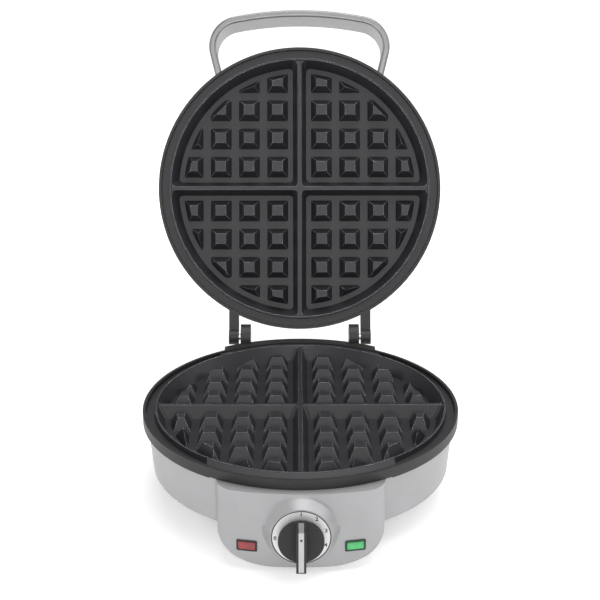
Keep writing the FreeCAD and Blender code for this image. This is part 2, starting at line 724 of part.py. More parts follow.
def lens_frame(name, wide, high, near, far, sign):
    """A block square to the pod's curved face at a lens, from near to far in front of it."""
    lean = math.asin(value("lens_x") / value("pod_curve"))
    curve_y = value("pod_curve") - value(POD_FACE)
    ray = Vector(sign * math.sin(lean), -math.cos(lean), 0)
    face = Vector(0, curve_y, value("lens_up")) + ray * value("pod_curve")
    slab = doc.addObject("Part::Box", name + "_slab")
    bind(slab, Length=wide, Width="(%s) - (%s)" % (far, near), Height=high)
    turn = Rotation(Vector(0, 0, 1), math.degrees(sign * lean))
    corner = face + ray * value(far) - turn.multVec(Vector(value(wide) / 2, 0, value(high) / 2))
    slab.Placement = Placement(corner, turn)
    along = turn.multVec(Vector(0, 1, 0))
    return filleted(name, slab, "lens_corner",
                    lambda edge: abs(abs(edge.tangentAt(0).dot(along)) - 1) < 0.001)


def base_housing():
    bowl = spun("bowl_outside", [
        ("0", "bowl_foot"),
        (WALL_FOOT, "bowl_foot"),
        (WALL_TOP, SHELF_LOW),
        ("0", SHELF_LOW),
    ])
    rounded(bowl, "bowl_edge", "foot_round",
            lambda edge: level(edge, value("bowl_foot")) and edge.BoundBox.XLength > 10)
    hollow = spun("bowl_inside", [
        ("0", BOWL_FLOOR),
        (WALL_FOOT + " - wall_thick", BOWL_FLOOR),
        (WALL_TOP + " - wall_thick", SHELF_LOW + " + 1"),
        ("0", SHELF_LOW + " + 1"),
    ])
    pod = pod_solid("pod_outside", "0", POD_TOP, POD_BACK)
    pod_hollow = pod_solid("pod_inside", "wall_thick", POD_TOP + " - wall_thick",
                           POD_BACK + " + wall_thick")
    cone = doc.addObject("Part::Cone", "dial_cone")
    bind(cone, Radius1="cone_foot + 1", Radius2="dial_rad + dial_rim", Height="dial_proud + 2")
    place(cone, ("0", "-(%s - 2)" % POD_FACE, "dial_up"), TURNS["-y"])
    cone_hollow = doc.addObject("Part::Cone", "dial_cone_inside")
    bind(cone_hollow, Radius1="cone_foot - 1", Radius2="dial_rad - 2",
         Height="dial_proud + wall_thick - 1.2")
    place(cone_hollow, ("0", "-(%s - wall_thick - 1)" % POD_FACE, "dial_up"), TURNS["-y"])
    recess = rod("dial_recess", "dial_rad + part_gap", "dial_thick + 1",
                 ("0", "-(%s - dial_thick)" % DIAL_FACE, "dial_up"), "-y")
    bushing = rod("bushing_hole", "spindle_rad + 2.2", "30",
                  ("0", "-(%s)" % POD_FACE, "dial_up"), "-y")
    service = rod("service_opening", "service_rad", "2 * wall_thick",
                  ("0", "pan_back / 2", "bowl_foot - 1"))
    gland = rod("gland_hole", GLAND_RAD, "20",
                ("0", WALL_FOOT + " - 10", GLAND_UP), "y")
    lenses = []
    for side, sign in (("right", 1), ("left", -1)):
        lenses.append(lens_frame("lens_hole_" + side, "lens_wide + 2 * (bezel_edge - 0.6)",
                                 "lens_high + 2 * (bezel_edge - 0.6)", "-8", "3", sign))
    shell = cut("housing_shell", joined("housing_mass", [bowl, pod, cone]),
                [hollow, pod_hollow, cone_hollow, recess, bushing, service, gland] + lenses)
    bosses, bores = [], []
    for index in range(4):
        across, along = polar("post_ring", 45 + 90 * index)
        bosses.append(rod("grid_boss_%d" % index, "boss_rad", REFLECTOR_LOW + " - bowl_foot",
                          (across, along, "bowl_foot")))
        bores.append(rod("grid_boss_bore_%d" % index, POST_SCREW["hole"], "40",
                         (across, along, "bowl_foot - 1")))
        bores.append(rod("grid_boss_sink_%d" % index, POST_SCREW["head"] + " + 0.3",
                         "10", (across, along, "bowl_foot - 1")))
    for index, (across, along) in enumerate(foot_spots()):
        bosses.append(rod("cover_boss_%d" % index, "boss_rad - 1", "12",
                          (across, along, "bowl_foot")))
        bores.append(rod("cover_boss_bore_%d" % index, POST_SCREW["hole"], "11",
                         (across, along, "bowl_foot - 1")))
    return cut("housing_body", joined("housing_bossed", [shell] + bosses), bores)


GLAND_RAD = "6.5"
GLAND_UP = "bowl_foot + 14"
CORD_RAD = "3.5"


def cord_gland():
    """A flanged bush in the housing's back wall, open for the cord."""
    wall = WALL_FOOT + " + taper * 14 / (rim_plane - shelf_drop - shelf_thick - bowl_foot)"
    stem = rod("gland_stem", GLAND_RAD + " - 0.05", "11", ("0", wall + " - 7", GLAND_UP), "y")
    collar = rod("gland_collar", GLAND_RAD + " + 2", "3", ("0", wall + " + 1", GLAND_UP), "y")
    nut = rod("gland_nut", GLAND_RAD + " + 2", "2.5", ("0", wall + " - 7", GLAND_UP), "y")
    bore = rod("gland_bore", CORD_RAD, "30", ("0", wall + " - 12", GLAND_UP), "y")
    return cut("gland_body", joined("gland_solid", [stem, collar, nut]), [bore])


def foot_spots():
    ring = "pan_rad - foot_inset"
    return [polar(ring, angle, "pan_back") for angle in (63.5, 116.5, 225, 315)]


def bottom_cover():
    pan = spun("pan_sheet", [
        ("0", "0"),
        ("pan_rad - 2", "0"),
        ("pan_rad", "2"),
        ("pan_rad", "bowl_foot"),
        ("pan_rad - pan_thick", "bowl_foot"),
        ("pan_rad - pan_thick", "pan_thick"),
        ("0", "pan_thick"),
    ])
    pan.setExpression("Placement.Base.y", linked("pan_back"))
    pillars, holes = [], []
    for index, (across, along) in enumerate(foot_spots()):
        pillars.append(rod("pan_pillar_%d" % index, "boss_rad - 1", "bowl_foot",
                           (across, along, "0")))
        holes.append(rod("pan_screw_hole_%d" % index, POST_SCREW["hole"], "40",
                         (across, along, "-1")))
        holes.append(rod("pan_foot_seat_%d" % index, "foot_rad + foot_slack", "foot_seat + 1",
                         (across, along, "-1")))
    return cut("pan_body", joined("pan_whole", [pan] + pillars), holes)


def cover_screws():
    screws = []
    for index, (across, along) in enumerate(foot_spots()):
        screws.append(screw("cover_screw_%d" % index, POST_SCREW, (across, along, "foot_seat"),
                            "bowl_foot + 9 - foot_seat"))
    return joined("cover_screws_body", screws)


def tie_screws():
    """Screws from under the bowl, through its bosses into the lower grid's posts."""
    screws = []
    for index in range(4):
        across, along = polar("post_ring", 45 + 90 * index)
        screws.append(screw("tie_screw_%d" % index, POST_SCREW,
                            (across, along, "bowl_foot + 9"),
                            REFLECTOR_TOP + " - bowl_foot - 9 + 9"))
    return joined("tie_screws_body", screws)


def rubber_feet():
    feet, holes = [], []
    for index, (across, along) in enumerate(foot_spots()):
        feet.append(rod("foot_%d" % index, "foot_rad", "foot_high + foot_seat",
                        (across, along, "-foot_high")))
        holes.append(rod("foot_hole_%d" % index, POST_SCREW["head"] + " + 0.4",
                         "foot_high + foot_seat + 1", (across, along, "-foot_high - 0.5")))
    return cut("feet_body", joined("feet_solid", feet), holes)


def hinge_pins():
    pins = []
    length = "arm_out - pin_blind - 0.3 - lug_in"
    for side, start in (("right", "lug_in"), ("left", "-(arm_out - pin_blind - 0.3)")):
        pins.append(rod("pin_" + side, "pin_rad", length, (start, HINGE_Y, HINGE_UP), "x"))
    return joined("pins_body", pins)


def dial_ring():
    ring = rod("dial_disc", "dial_rad", "dial_thick",
               ("0", "-(%s - dial_thick)" % DIAL_FACE, "dial_up"), "-y")
    hole = rod("dial_hole", "dial_bore", "4",
               ("0", "-(%s - 3)" % DIAL_FACE, "dial_up"), "-y")
    return cut("dial_body", ring, [hole])


def lens(name, sign):
    return lens_frame(name, "lens_wide", "lens_high", "-1.5", "lens_proud", sign)


def lens_bezels():
    frames, holes = [], []
    for side, sign in (("right", 1), ("left", -1)):
        wide, high = "lens_wide + 2 * bezel_edge", "lens_high + 2 * bezel_edge"
        frames.append(lens_frame("bezel_flange_" + side, wide, high, "0.15", "bezel_proud", sign))
        frames.append(lens_frame("bezel_sleeve_" + side, wide + " - 1.4", high + " - 1.4",
                                 "-3", "0.4", sign))
        holes.append(lens_frame("bezel_hole_" + side, "lens_wide + 2 * part_gap",
                                "lens_high + 2 * part_gap", "-9", "3", sign))
    return cut("bezels_body", joined("bezels_solid", frames), holes)


def neon_lamps():
    lamps = []
    lean = math.asin(value("lens_x") / value("pod_curve"))
    for side, sign in (("right", 1), ("left", -1)):
        ray = Vector(sign * math.sin(lean), -math.cos(lean), 0)
        centre = Vector(0, value("pod_curve") - value(POD_FACE), value("lens_up"))
        lamp = doc.addObject("Part::Cylinder", "neon_" + side)
        lamp.Radius = 3
        lamp.Height = 12
        lamp.Placement = Placement(centre + ray * (value("pod_curve") - 16),
                                   Rotation(Vector(0, 0, 1), ray))
        lamps.append(lamp)
    return joined("neons_body", lamps)


def thermostat():
    body = block("thermostat_case", ("30", "16", "24"),
                 ("-15", "-(%s - 6)" % POD_FACE + " + 3", "dial_up - 12"))
    plate = block("thermostat_plate", ("24", "1.5", "30"),
                  ("-12", "-(%s - 6)" % POD_FACE + " + 1.5", "dial_up - 15"))
    bush = rod("thermostat_bush", "spindle_rad + 2", "dial_proud + 2.5",
               ("0", "-(%s - 6) + 1.5" % POD_FACE, "dial_up"), "-y")
    bore = rod("thermostat_bore", "spindle_rad + spindle_run", "40",
               ("0", "-(%s) + 16" % POD_FACE, "dial_up"), "-y")
    return cut("thermostat_whole", joined("thermostat_solid", [body, plate, bush]), [bore])


def thermal_fuse():
    tube = rod("fuse_tube", "2", "16", ("-8", "52", REFLECTOR_LOW + " - 2.6"), "x")
    wires = rod("fuse_wires", "0.6", "30", ("-15", "52", REFLECTOR_LOW + " - 2.6"), "x")
    return joined("fuse_body", [tube, wires])


def terminal_block():
    block_body = block("terminal_case", ("36", "14", "12"), ("-18", "74", BOWL_FLOOR))
    holes = [rod("terminal_hole_%d" % index, "2", "8",
                 ("%d" % (12 * index - 12), "81", BOWL_FLOOR + " + 6")) for index in range(3)]
    return cut("terminal_body", block_body, holes)


# ---------------------------------------------------------------- knob

def knob():
    back = "(%s + knob_gap)" % DIAL_FACE
    front = "(%s + knob_gap + knob_thick)" % DIAL_FACE
    disc = rod("knob_disc", "knob_rad", "knob_thick", ("0", "-" + back, "dial_up"), "-y")
    hub = rod("knob_hub", "hub_rad", "knob_gap - hub_gap + 1",
              ("0", "-(%s + hub_gap)" % DIAL_FACE, "dial_up"), "-y")
    grip = block("knob_grip", ("grip_wide", "grip_out + 1", "grip_up + grip_down"),
                 ("-grip_wide / 2", "-(%s + grip_out)" % front, "dial_up - grip_down"))
    bore = rod("knob_bore", "spindle_rad + spindle_seat", "knob_gap - hub_gap + knob_thick + 7",
               ("0", "-(%s + hub_gap) + 1" % DIAL_FACE, "dial_up"), "-y")
    slot = block("insert_slot", ("insert_wide", "insert_thick + 1", "grip_up + grip_down"),
                 ("-insert_wide / 2", "-(%s + grip_out) - 1" % front,
                  "dial_up - grip_down + insert_short"))
    slot_top = block("insert_slot_top", ("insert_wide", "grip_out + 1", "insert_thick + 1"),
                     ("-insert_wide / 2", "-(%s + grip_out) - 1" % front,
                      "dial_up + grip_up - insert_thick"))
    return cut("knob_body", joined("knob_solid", [disc, hub, grip]), [bore, slot, slot_top])


def knob_insert():
    front = "(%s + knob_gap + knob_thick)" % DIAL_FACE
    face = block("insert_face",
                 ("insert_wide - 0.1", "insert_thick", "grip_up + grip_down - insert_short - 0.1"),
                 ("-insert_wide / 2 + 0.05", "-(%s + grip_out)" % front,
                  "dial_up - grip_down + insert_short + 0.1"))
    top = block("insert_top", ("insert_wide - 0.1", "grip_out - 0.1", "insert_thick"),
                ("-insert_wide / 2 + 0.05", "-(%s + grip_out)" % front,
                 "dial_up + grip_up - insert_thick"))
    return joined("insert_body", [face, top])


def spindle():
    return rod("spindle_rod", "spindle_rad", "dial_proud + knob_gap + knob_thick + 18",
               ("0", "-(%s) + 14" % POD_FACE, "dial_up"), "-y")


# ---------------------------------------------------------------- lid, drawn closed

def lid_cover():
    """A thin spun cover: upright wall, round shoulder and gently domed top."""
    def envelope(name, inset, start):
        wall_x = "(%s - %s)" % (WALL_TOP, inset)
        lean_x = "(%s - cover_draw - %s)" % (WALL_TOP, inset)
        round_rad = "(cover_shoulder - %s)" % inset
        wall_up = "(%s + cover_wall)" % COVER_LOW
        top_up = "(%s + cover_wall + cover_shoulder - %s)" % (COVER_LOW, inset)
        brow_x = "(%s - cover_draw - cover_shoulder)" % WALL_TOP
        return spun(name, [
            ("0", start),
            (wall_x, start),
            (lean_x, wall_up, round_rad),
            (brow_x, top_up),
            ("0", top_up + " + cover_dome"),
        ])
    outside = envelope("cover_outside", "0", COVER_LOW)
    inside = envelope("cover_inside", "cover_thick", COVER_LOW + " - 1")
    return outside, cut("cover_shell", outside, [inside])


def upper_rim():
    ring = turned_over("upper_rim_ring", rim_blank("upper_rim_flat"))
    face = "(rim_plane + rim_gap)"
    pieces = [ring]
    for side, start in (("right", "arm_in"), ("left", "-arm_out")):
        barrel = rod("arm_barrel_" + side, "barrel_rad", "arm_out - arm_in",
                     (start, HINGE_Y, HINGE_UP), "x")
        beam = padded("arm_beam_" + side, "YZ_Plane", [
            ("rim_rad - 17", face),
            (HINGE_Y, face),
            (HINGE_Y, HINGE_UP + " + barrel_rad"),
            ("rim_rad - 6", face + " + skirt_deep"),
            ("rim_rad - 17", face + " + skirt_deep"),
        ], "arm_out - arm_in", lift=start)
        pieces += [barrel, beam]
    clear = rod("arm_clear", "rim_rad - lip_wide", "60", ("0", "0", "rim_plane"))
    arms = cut("lid_arms", joined("lid_arm_pair", pieces[1:]), [clear])
    bores = []
    for side, start in (("right", "arm_in - 1"), ("left", "-(arm_out - pin_blind)")):
        bores.append(rod("arm_bore_" + side, "pin_rad + pin_run", "arm_out - arm_in + 1 - pin_blind",
                         (start, HINGE_Y, HINGE_UP), "x"))
    holes = [turned_over("upper_" + hole.Name, hole) for hole in shelf_holes("upper_rim")]
    return cut("upper_rim_body", joined("upper_rim_whole", [ring, arms]), bores + holes)


def handle_face(inset, nearer=0):
    """Half-outline of the strap in plan: inset from its outer surface, its front nearer the lid."""
    arch = value("handle_arch")
    corner = value("handle_corner")
    lean = math.radians(value("handle_lean"))
    front = value("rim_rad + handle_reach") - nearer
    arch_mid = front - arch
    normal = Vector(math.cos(lean), -math.sin(lean), 0)
    on_leg = Vector(value("handle_half"), value("rim_rad - 12"), 0)
    offset = normal.dot(on_leg) - corner
    # centre of the corner: on the circle about the arch's centre and on the leg's parallel
    reach = arch - corner
    start = Vector(0, arch_mid, 0)
    along = Vector(-normal.y, normal.x, 0)
    foot = normal * (offset - normal.dot(start))
    slide = math.sqrt(reach ** 2 - foot.Length ** 2)
    corner_mid = start + foot + along * slide
    outward = (corner_mid - start).normalize()
    arch_end = corner_mid + outward * (corner - inset)
    leg_top = corner_mid + normal * (corner - inset)
    leg_end = leg_top - along * (leg_top.y - value("rim_rad - 44")) * (1 / along.y)
    middle = (outward + normal).normalize()
    corner_spot = corner_mid + middle * (corner - inset)
    crown = Vector(0, front - inset, 0)
    return crown, arch_end, corner_spot, leg_top, leg_end


def strap_wire(height, nearer):
    """The strap's closed outline in plan, at a height of the closed lid."""
    def flip(spot):
        return Vector(-spot.x, spot.y, spot.z)

    def same(spot):
        return spot

    def raised(spot):
        return Vector(spot.x, -spot.y, height)
    outer = [raised(spot) for spot in handle_face(0, nearer)]
    inner = [raised(spot) for spot in handle_face(value("strap_thick"), nearer)]
    edges = []
    for crown, arch_end, corner_spot, leg_top, leg_end in (outer, inner):
        edges.append(Part.Arc(flip(arch_end), crown, arch_end).toShape())
        for side in (same, flip):
            edges.append(Part.Arc(side(arch_end), side(corner_spot), side(leg_top)).toShape())
            edges.append(Part.LineSegment(side(leg_top), side(leg_end)).toShape())
    for side in (same, flip):
        edges.append(Part.LineSegment(side(outer[4]), side(inner[4])).toShape())
    return Part.Wire(Part.__sortEdges__(edges))


def handle(envelope):
    """A bent strap whose legs end on the lid's wall, clear of the rim's skirt."""
    low = value("rim_plane + rim_gap + strap_back")
    near = strap_wire(low, 0)
    far = strap_wire(low + value("strap_wide"), value("strap_lean"))
    strap = Part.makeLoft([near, far], True, True)
    long_edges = [edge for edge in strap.Edges
                  if edge.BoundBox.ZLength < 0.001 and edge.BoundBox.YMin < -value("rim_rad - 40")]
    strap = strap.makeFillet(value("strap_round"), long_edges)
    strap_solid = solid("handle_strap", strap)
    skirt = rod("handle_skirt_room", "rim_rad + handle_gap", "skirt_deep + handle_gap",
                ("0", "0", "rim_plane + rim_gap"))
    return cut("handle_body", strap_solid, [envelope, skirt])


def handle_screws():
    """Screws from inside the lid, two in each leg, along the leg."""
    wall = value(WALL_TOP) - value("cover_draw") / 2
    sizes = (("shank", "leg_screw_rad", "-leg_screw_start", "leg_screw_long"),
             ("head", "leg_head_rad", "-(leg_screw_start + leg_head_high)", "leg_head_high"),
             ("hole", "leg_screw_rad + 0.1", "-(leg_screw_start + leg_head_high)",
              "leg_screw_long + leg_head_high + 1"))
    shanks, holes = [], []
    for row in range(2):
        lift = value("leg_screw_low") + row * value("leg_screw_pitch")
        nearer = value("strap_lean") * (lift - value("strap_back")) / value("strap_wide")
        leg_top, leg_end = handle_face(value("strap_thick") / 2, nearer)[3:]
        way = (leg_top - leg_end).normalize()
        # where the leg's middle line meets the lid's wall
        along = leg_end.dot(way)
        run = -along + math.sqrt(along ** 2 - leg_end.dot(leg_end) + wall ** 2)
        spot = leg_end + way * run
        for side in (1, -1):
            axis = Vector(side * way.x, -way.y, 0)
            turn = Rotation(Vector(0, 0, 1), axis)
            at = Vector(side * spot.x, -spot.y, value("rim_plane + rim_gap") + lift)
            for kind, radius, start, length in sizes:
                item = doc.addObject("Part::Cylinder", "handle_%s_%d_%d" % (kind, side + 1, row))
                bind(item, Radius=radius, Height=length)
                item.Placement = Placement(at + axis * value(start), turn)
                (holes if kind == "hole" else shanks).append(item)
    return joined("handle_screws_body", shanks), holes


def post_screws(name):
    """Short screws that hold the upper reflector to the upper grid's posts."""
    screws = []
    for index in range(4):
        across, along = polar("post_ring", 45 + 90 * index)
        screws.append(screw("%s_%d" % (name, index), POST_SCREW,
                            (across, along, REFLECTOR_LOW), "9"))
    return joined(name, screws)


def build():
    node("base_housing", base_housing())
    node("bottom_cover", bottom_cover())
    node("lower_rim", lower_rim())
    node("lower_grid", lower_grid())
    node("lower_heating_element", element("lower_element"))
    node("lower_element_clamps", clamps("lower_clamp"))
    node("lower_clamp_screws", clamp_screws("lower_clamp_screw"))
    node("lower_grid_screws", grid_screws("lower_grid_screw"))
    node("lower_heat_reflector", reflector("lower_reflector"))
    node("tie_screws", tie_screws())
    node("cover_screws", cover_screws())
    node("rubber_feet", rubber_feet())
    node("hinge_pins", hinge_pins())
    node("dial_ring", dial_ring())
    node("power_lens", lens("red_lens_block", -1))
    node("ready_lens", lens("green_lens_block", 1))
    node("lens_bezels", lens_bezels())
    node("neon_lamps", neon_lamps())
    node("thermostat", thermostat())
    node("thermal_fuse", thermal_fuse())
    node("terminal_block", terminal_block())
    node("cord_gland", cord_gland())

    node("knob", knob())
    node("knob_insert", knob_insert())
    node("thermostat_spindle", spindle())

    envelope, shell = lid_cover()
    screws, holes = handle_screws()
    lid_node("lid_cover", cut("cover_body", shell, holes))
    lid_node("upper_rim", upper_rim())
    lid_node("upper_grid", turned_over("upper_grid_body", grid_blank("upper_grid_cast")))
    for name, blank in (("heating_element", element("upper_element")),
                        ("element_clamps", clamps("upper_clamp")),
                        ("clamp_screws", clamp_screws("upper_clamp_screw")),
                        ("grid_screws", grid_screws("upper_grid_screw")),
                        ("heat_reflector", reflector("upper_reflector")),
                        ("reflector_screws", post_screws("upper_post_screw"))):
        lid_node("upper_" + name, turned_over("upper_%s_body" % name, blank))
    lid_node("handle", cut("handle_drilled", handle(envelope), holes))
    lid_node("handle_screws", screws)
    doc.recompute()


def write():
    faults = [item.Name for item in doc.Objects if {"Invalid", "Error"} & set(item.State)]
    for name, item in NODES.items():
        if item.Shape.isNull() or not item.Shape.isValid():
            faults.append(name)
    if faults:
        raise RuntimeError("failed objects: " + ", ".join(faults))
    os.makedirs("parts", exist_ok=True)
    for name, item in NODES.items():
        item.Shape.exportStep(os.path.join("parts", name + ".step"))
        print(name, len(item.Shape.Solids), "solids", round(item.Shape.Volume))


build()
write()
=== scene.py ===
import json
import math

import bmesh
import bpy
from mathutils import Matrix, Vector


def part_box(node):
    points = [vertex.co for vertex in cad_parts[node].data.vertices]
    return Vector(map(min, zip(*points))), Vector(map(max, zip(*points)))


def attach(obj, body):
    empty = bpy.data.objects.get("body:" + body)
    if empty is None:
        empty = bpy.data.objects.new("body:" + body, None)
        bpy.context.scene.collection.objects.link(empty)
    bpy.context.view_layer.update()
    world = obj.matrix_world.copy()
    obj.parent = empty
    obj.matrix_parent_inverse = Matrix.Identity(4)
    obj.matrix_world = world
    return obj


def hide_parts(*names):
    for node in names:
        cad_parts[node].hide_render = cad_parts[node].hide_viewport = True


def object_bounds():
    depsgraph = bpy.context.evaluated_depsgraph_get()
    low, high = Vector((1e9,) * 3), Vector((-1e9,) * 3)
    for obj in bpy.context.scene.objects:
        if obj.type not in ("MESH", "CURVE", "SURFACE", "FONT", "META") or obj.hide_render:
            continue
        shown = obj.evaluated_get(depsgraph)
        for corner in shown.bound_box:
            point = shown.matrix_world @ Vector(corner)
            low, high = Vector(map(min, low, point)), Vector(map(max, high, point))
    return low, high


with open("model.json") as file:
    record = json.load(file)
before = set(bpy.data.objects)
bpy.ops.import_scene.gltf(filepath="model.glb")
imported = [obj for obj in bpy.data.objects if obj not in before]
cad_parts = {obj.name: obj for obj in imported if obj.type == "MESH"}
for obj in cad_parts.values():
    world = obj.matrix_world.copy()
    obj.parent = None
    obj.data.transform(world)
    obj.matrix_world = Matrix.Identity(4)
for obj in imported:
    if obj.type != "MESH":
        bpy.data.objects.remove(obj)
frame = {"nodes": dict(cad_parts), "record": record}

# A round waffle maker with its lid open. Every CAD node keeps its place and shape; the visible ones
# get rounded edges, printed marks and procedural finishes. Metres, +Z up, -Y towards the camera.

MM = 0.001
CAD_BOX = [list(corner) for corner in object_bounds()]
NODES = frame["nodes"]
BODY_OF = {node: body for body, names in frame["record"]["behaviour"]["bodies"].items()
           for node in names}
SLOT_OF = {row["node"]: row["material_slot"] for row in frame["record"]["subparts"]}


# ---------------------------------------------------------------- materials

class Finish:
    """A Principled material and the few node recipes that the finishes share."""

    def __init__(self, name, colour, roughness, metallic=0.0, **sockets):
        self.material = bpy.data.materials.new(name)
        self.material.use_nodes = True
        self.tree = self.material.node_tree
        self.shader = self.tree.nodes["Principled BSDF"]
        self.shader.inputs["Base Color"].default_value = (*colour, 1)
        self.shader.inputs["Roughness"].default_value = roughness
        self.shader.inputs["Metallic"].default_value = metallic
        for socket, number in sockets.items():
            self.shader.inputs[socket.replace("_", " ")].default_value = number
        self.coords = self.add("ShaderNodeTexCoord")
        self.normal = None

    def add(self, kind, **settings):
        node = self.tree.nodes.new(kind)
        for name, setting in settings.items():
            setattr(node, name, setting)
        return node

    def link(self, source, target):
        self.tree.links.new(source, target)

    def noise(self, size_mm, detail=2.0, stretch=(1, 1, 1)):
        """Noise whose features are about that many millimetres across."""
        mapping = self.add("ShaderNodeMapping")
        mapping.inputs["Scale"].default_value = stretch
        self.link(self.coords.outputs["Object"], mapping.inputs["Vector"])
        noise = self.add("ShaderNodeTexNoise")
        noise.inputs["Scale"].default_value = 1.0 / (size_mm * MM)
        noise.inputs["Detail"].default_value = detail
        self.link(mapping.outputs["Vector"], noise.inputs["Vector"])
        return noise.outputs["Fac"]

    def ramp(self, source, stops):
        ramp = self.add("ShaderNodeValToRGB")
        marks = ramp.color_ramp.elements
        while len(marks) < len(stops):
            marks.new(0.5)
        for mark, (spot, colour) in zip(marks, stops):
            mark.position = spot
            mark.color = (*colour, 1)
        self.link(source, ramp.inputs["Fac"])
        return ramp.outputs["Color"]

    def spread(self, source, low, high):
        change = self.add("ShaderNodeMapRange")
        change.inputs["To Min"].default_value = low
        change.inputs["To Max"].default_value = high
        self.link(source, change.inputs["Value"])
        return change.outputs["Result"]

    def colour(self, source, stops):
        self.link(self.ramp(source, stops), self.shader.inputs["Base Color"])
        return self

    def rough(self, source, low, high):
        self.link(self.spread(source, low, high), self.shader.inputs["Roughness"])
        return self

    def bump(self, source, depth_mm, strength=1.0):
        bump = self.add("ShaderNodeBump")
        bump.inputs["Strength"].default_value = strength
        bump.inputs["Distance"].default_value = depth_mm * MM
        self.link(source, bump.inputs["Height"])
        if self.normal is not None:
            self.link(self.normal, bump.inputs["Normal"])
        self.normal = bump.outputs["Normal"]
        self.link(self.normal, self.shader.inputs["Normal"])
        return self


def grey(level, tint=0.0):
    return (level, level, level * (1 + tint))


def silver_paint():
    finish = Finish("silver_paint", grey(0.36), 0.42, metallic=0.4)
    finish.colour(finish.noise(30, 3), [(0.3, grey(0.345, 0.02)), (0.7, grey(0.37, 0.02))])
    finish.rough(finish.noise(0.6, 2), 0.38, 0.5)
    return finish.bump(finish.noise(0.45, 2), 0.015, 0.35)


def rim_plastic():
    finish = Finish("rim_plastic", grey(0.02), 0.5)
    finish.colour(finish.noise(18, 3), [(0.3, grey(0.012, -0.06)), (0.7, grey(0.016, -0.06))])
    finish.rough(finish.noise(0.8, 2), 0.42, 0.58)
    return finish.bump(finish.noise(0.35, 3), 0.03, 0.5)


def nonstick(name="nonstick", level=0.014, roughness=(0.4, 0.55)):
    """Dark coating with a fine fleck; the pale copy made with a high level is a painted highlight
    for the grid's rounded edges.
    """
    finish = Finish(name, grey(level), 0.45, Specular_IOR_Level=0.5)
    fleck = finish.noise(0.55, 1)
    finish.colour(fleck, [(0.30, grey(level * 0.8, 0.2)), (0.62, grey(level * 1.1, 0.2)),
                          (0.74, grey(level * 2.2, 0.12))])
    finish.rough(finish.noise(0.9, 2), *roughness)
    finish.bump(finish.noise(1.6, 2), 0.05, 0.35)
    return finish.bump(finish.noise(0.3, 2), 0.02, 0.4)


def brushed(name, level, stretch, roughness=(0.26, 0.4)):
    finish = Finish(name, grey(level), 0.3, metallic=1.0, Anisotropic=0.4)
    streak = finish.noise(1.2, 4, stretch)
    finish.colour(streak, [(0.3, grey(level * 0.92)), (0.7, grey(level * 1.06))])
    finish.rough(streak, *roughness)
    return finish.bump(streak, 0.006, 0.3)


def satin_metal(name, level, roughness=(0.3, 0.42), metallic=0.85):
    finish = Finish(name, grey(level), 0.34, metallic=metallic)
    finish.colour(finish.noise(12, 3), [(0.3, grey(level * 0.95)), (0.7, grey(level * 1.03))])
    finish.rough(finish.noise(0.9, 3), *roughness)
    return finish.bump(finish.noise(0.5, 2), 0.003, 0.2)


def black_plastic(name, level=0.03, roughness=(0.36, 0.5)):
    finish = Finish(name, grey(level), 0.42)
    finish.colour(finish.noise(14, 3), [(0.3, grey(level * 0.85)), (0.7, grey(level * 1.15))])
    finish.rough(finish.noise(0.7, 2), *roughness)
    return finish.bump(finish.noise(0.3, 2), 0.015, 0.4)


def lens_plastic(name, dark, bright, glow):
    """Clear coloured plastic, lit from behind."""
    finish = Finish(name, bright, 0.16, Coat_Weight=0.6, Coat_Roughness=0.08)
    finish.colour(finish.noise(5, 2), [(0.3, dark), (0.62, bright)])
    finish.rough(finish.noise(2, 2), 0.12, 0.22)
    finish.shader.inputs["Emission Color"].default_value = (*bright, 1)
    finish.shader.inputs["Emission Strength"].default_value = glow
    return finish.bump(finish.noise(1.4, 1), 0.05, 0.25)


def rubber():
    finish = Finish("rubber", grey(0.025), 0.75)
    finish.colour(finish.noise(6, 3), [(0.3, grey(0.02)), (0.7, grey(0.032))])
    return finish.bump(finish.noise(0.4, 3), 0.03, 0.5)


def plain(name, colour, roughness, metallic=0.0):
    """A finish for pieces inside: slight mottling and grain."""
    finish = Finish(name, colour, roughness, metallic=metallic)
    darker = tuple(0.85 * part for part in colour)
    finish.colour(finish.noise(4, 3), [(0.3, darker), (0.7, colour)])
    finish.rough(finish.noise(1, 2), roughness * 0.85, min(1, roughness * 1.2))
    return finish.bump(finish.noise(0.4, 2), 0.01, 0.3)


def white_floor():
    """A white floor that glows more the farther it is from the object."""
    finish = Finish("floor_white", grey(0.9), 0.8)
    finish.colour(finish.noise(200, 2), [(0.3, grey(0.88)), (0.7, grey(0.9))])
    finish.shader.inputs["Emission Color"].default_value = (1, 1, 1, 1)
    distance = finish.add("ShaderNodeVectorMath", operation="LENGTH")
    finish.link(finish.coords.outputs["Object"], distance.inputs[0])
    glow = finish.add("ShaderNodeMapRange", interpolation_type="SMOOTHSTEP")
    for socket, number in (("From Min", 0.2), ("From Max", 0.8),
                           ("To Min", 0.36), ("To Max", 0.62)):
        glow.inputs[socket].default_value = number
    finish.link(distance.outputs["Value"], glow.inputs["Value"])
    finish.link(glow.outputs["Result"], finish.shader.inputs["Emission Strength"])
    return finish


